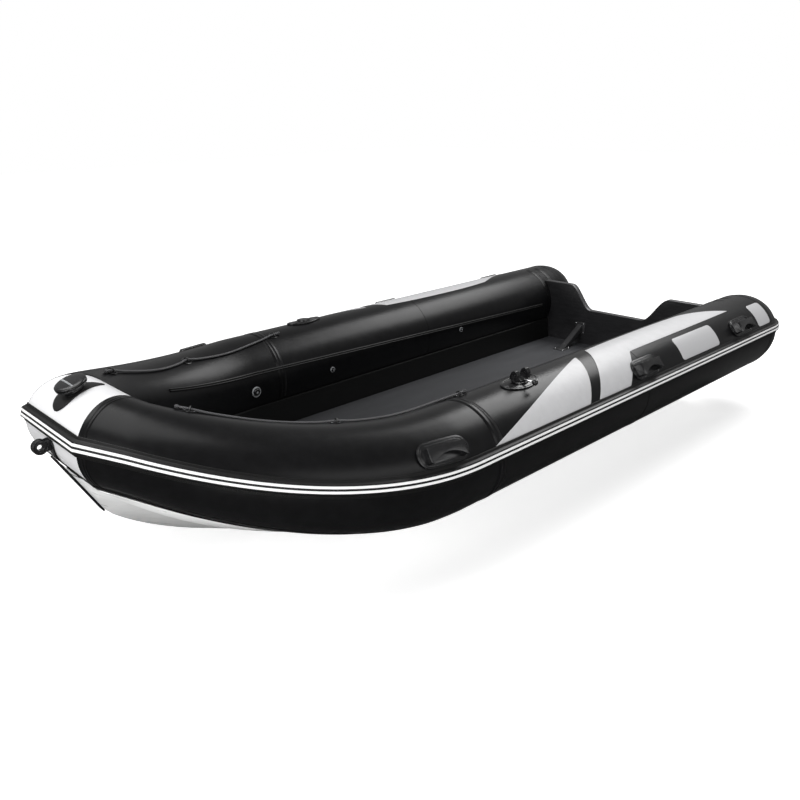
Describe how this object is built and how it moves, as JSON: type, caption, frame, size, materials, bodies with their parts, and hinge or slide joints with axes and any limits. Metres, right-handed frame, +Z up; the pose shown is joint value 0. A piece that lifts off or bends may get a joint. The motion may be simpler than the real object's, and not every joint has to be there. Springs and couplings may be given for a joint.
{
  "type": "rigid inflatable boat",
  "caption": "Rigid inflatable boat with black side tubes, a white bow tube and V hull, a flat grey deck, a notched transom, carrying handles, a swivelling rowlock and grab lines",
  "frame": {"origin": "on the centreline, at the waterline, under the top of the transom's outer face", "axes": "+X forward to the bow, +Y to port, +Z up"},
  "size_m": [4.8373, 2.193, 1.0322],
  "materials": {
    "hull_white": "glossy gelcoat",
    "deck_grey": "satin grey deck covering",
    "transom_black": "black coated plywood, satin",
    "tube_fabric": "smooth black coated fabric with pale patches",
    "bow_fabric": "smooth white coated fabric",
    "strake_rubber": "black rubber, two thin white lines on the strake",
    "black_fittings": "moulded black plastic",
    "brace_metal": "black coated metal",
    "line_cord": "braided black cord",
    "plate_light": "blank pale grey plate",
    "valve_grey": "grey plastic"
  },
  "bodies": {
    "boat": {"hull": "hull_white", "keel_guard": "strake_rubber", "deck": "deck_grey", "transom": "transom_black", "transom_drains": "black_fittings", "port_brace": "brace_metal", "starboard_brace": "brace_metal", "port_tube": "tube_fabric", "starboard_tube": "tube_fabric", "bow_tube": "bow_fabric", "rub_strake": "strake_rubber", "port_seat_track": "strake_rubber", "starboard_seat_track": "strake_rubber", "port_aft_handle": "black_fittings", "port_middle_handle": "black_fittings", "port_fore_handle": "black_fittings", "starboard_aft_handle": "black_fittings", "starboard_middle_handle": "black_fittings", "starboard_fore_handle": "black_fittings", "port_rowlock_pad": "black_fittings", "starboard_rowlock_pad": "black_fittings", "port_line_eyes": "black_fittings", "starboard_line_eyes": "black_fittings", "port_grab_line": "line_cord", "starboard_grab_line": "line_cord", "bollard_pad": "strake_rubber", "bollard": "black_fittings", "towing_eye": "black_fittings", "port_name_plate": "plate_light", "starboard_name_plate": "plate_light", "port_tail_plate": "plate_light", "starboard_tail_plate": "plate_light", "port_valves": "valve_grey", "starboard_valves": "valve_grey"},
    "port_rowlock": {"port_rowlock": "black_fittings"}
  },
  "joints": [
    {"name": "port_rowlock_swivel", "type": "hinge", "parent": "boat", "child": "port_rowlock", "pos_m": [2.37, 0.85731, 0.52987], "axis": [0, 0.1045, 0.9945], "continuous": true}
  ]
}
